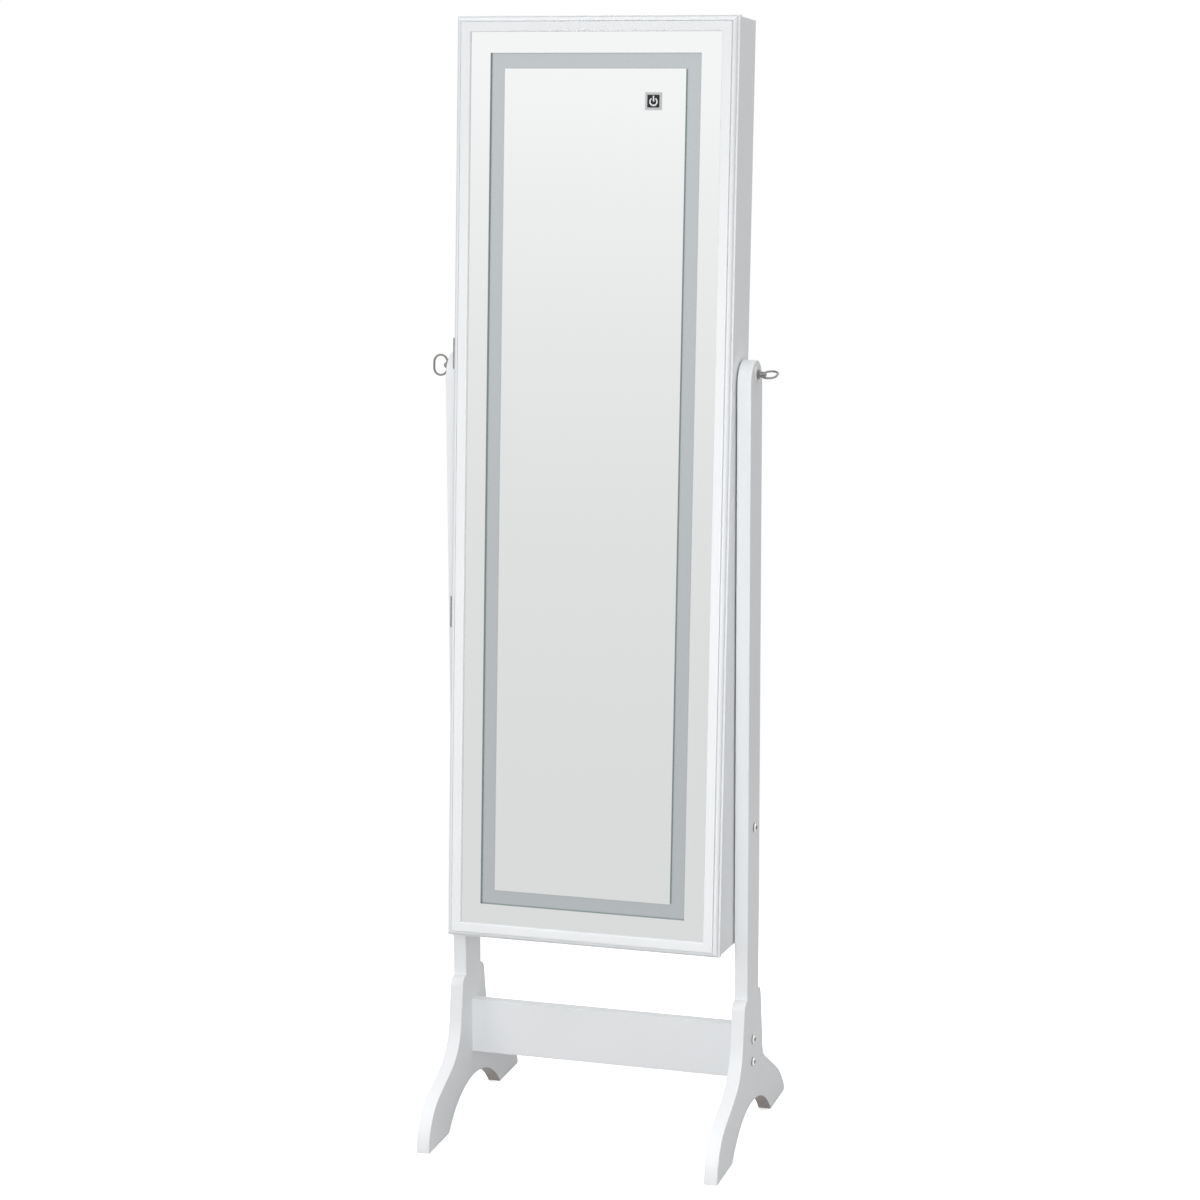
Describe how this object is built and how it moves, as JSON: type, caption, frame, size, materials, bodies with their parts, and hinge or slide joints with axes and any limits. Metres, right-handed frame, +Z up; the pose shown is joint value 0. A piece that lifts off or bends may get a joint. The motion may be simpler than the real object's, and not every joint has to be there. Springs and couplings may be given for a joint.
{
  "type": "cheval jewelry cabinet",
  "caption": "Free-standing tilting jewelry cabinet with a mirror door, a frosted light band, a touch switch, fitted bays, and two arched-foot uprights with ring screws.",
  "frame": {"origin": "on the floor, midway between the feet", "axes": "+X to the viewer's right, -Y to the front, +Z up"},
  "size_m": [0.4624, 0.368, 1.4614],
  "materials": {
    "white_lacquer": "satin white lacquer on fibreboard",
    "white_backing": "white-faced hardboard",
    "bare_board": "bare fibreboard",
    "velvet": "black velvet flock",
    "mirror_glass": "silvered float glass",
    "frosted_diffuser": "frosted acrylic",
    "nickel": "dull nickel plate",
    "zinc_steel": "bright zinc plate",
    "bumper_rubber": "matte moulded rubber",
    "white_plastic": "moulded white",
    "black_plastic": "fine moulded texture",
    "silver_plastic": "silver paint on moulded plastic",
    "gloss_black": "polished black",
    "white_print": "printed white",
    "led_lens": "clear resin over phosphor"
  },
  "bodies": {
    "stand": {"left_upright": "white_lacquer", "right_upright": "white_lacquer", "stretcher": "white_lacquer", "stretcher_bolts": "zinc_steel", "barrel_nuts": "zinc_steel", "stop_bolts": "zinc_steel", "stop_bumpers": "bumper_rubber", "pivot_washers": "white_plastic"},
    "cabinet": {"pivot_inserts": "zinc_steel", "pivot_spacers": "white_plastic", "case_side_left": "white_lacquer", "case_side_right": "white_lacquer", "case_top": "white_lacquer", "case_bottom": "white_lacquer", "case_back": "white_backing", "back_lining": "velvet", "ring_tray": "velvet", "ring_rolls": "velvet", "earring_panel": "velvet", "earring_spacers": "black_plastic", "peg_rail": "velvet", "necklace_pegs": "nickel", "bracelet_rod": "nickel", "rod_sockets": "nickel", "shelf_1": "velvet", "shelf_2": "velvet", "shelf_3": "velvet", "shelf_4": "velvet", "guard_rail_1": "nickel", "guard_rail_2": "nickel", "guard_rail_3": "nickel", "hinge_case_leaves": "nickel", "hinge_pins": "nickel", "hinge_case_screws": "nickel", "magnet_catch": "white_plastic"},
    "door": {"frame_left": "white_lacquer", "frame_right": "white_lacquer", "frame_top": "white_lacquer", "frame_bottom": "white_lacquer", "mirror_surround": "mirror_glass", "mirror_inner": "mirror_glass", "light_band": "frosted_diffuser", "core_board": "bare_board", "door_back": "white_lacquer", "door_back_screws": "nickel", "led_strip": "white_plastic", "led_chips": "led_lens", "switch_bezel": "silver_plastic", "switch_plate": "gloss_black", "power_symbol": "white_print", "switch_module": "black_plastic", "switch_leads": "black_plastic", "battery_box": "black_plastic", "battery_lid": "black_plastic", "battery_cells": "zinc_steel", "hinge_door_leaves": "nickel", "hinge_door_screws": "nickel", "strike_plate": "zinc_steel"},
    "left_screw": {"left_ring_screw": "nickel"},
    "right_screw": {"right_ring_screw": "nickel"}
  },
  "joints": [
    {"name": "tilt", "type": "hinge", "parent": "stand", "child": "cabinet", "pos_m": [0, 0, 1.015], "axis": [-1, 0, 0], "range_deg": [0, 16]},
    {"name": "door_hinge", "type": "hinge", "parent": "cabinet", "child": "door", "pos_m": [-0.187, -0.0407, 1.01787], "axis": [0, -0.0705, -0.9975], "range_deg": [0, 110]},
    {"name": "left_screw_turn", "type": "hinge", "parent": "cabinet", "child": "left_screw", "pos_m": [-0.1945, 0, 1.015], "axis": [1, 0, 0], "continuous": true},
    {"name": "right_screw_turn", "type": "hinge", "parent": "cabinet", "child": "right_screw", "pos_m": [0.1945, 0, 1.015], "axis": [1, 0, 0], "continuous": true}
  ]
}
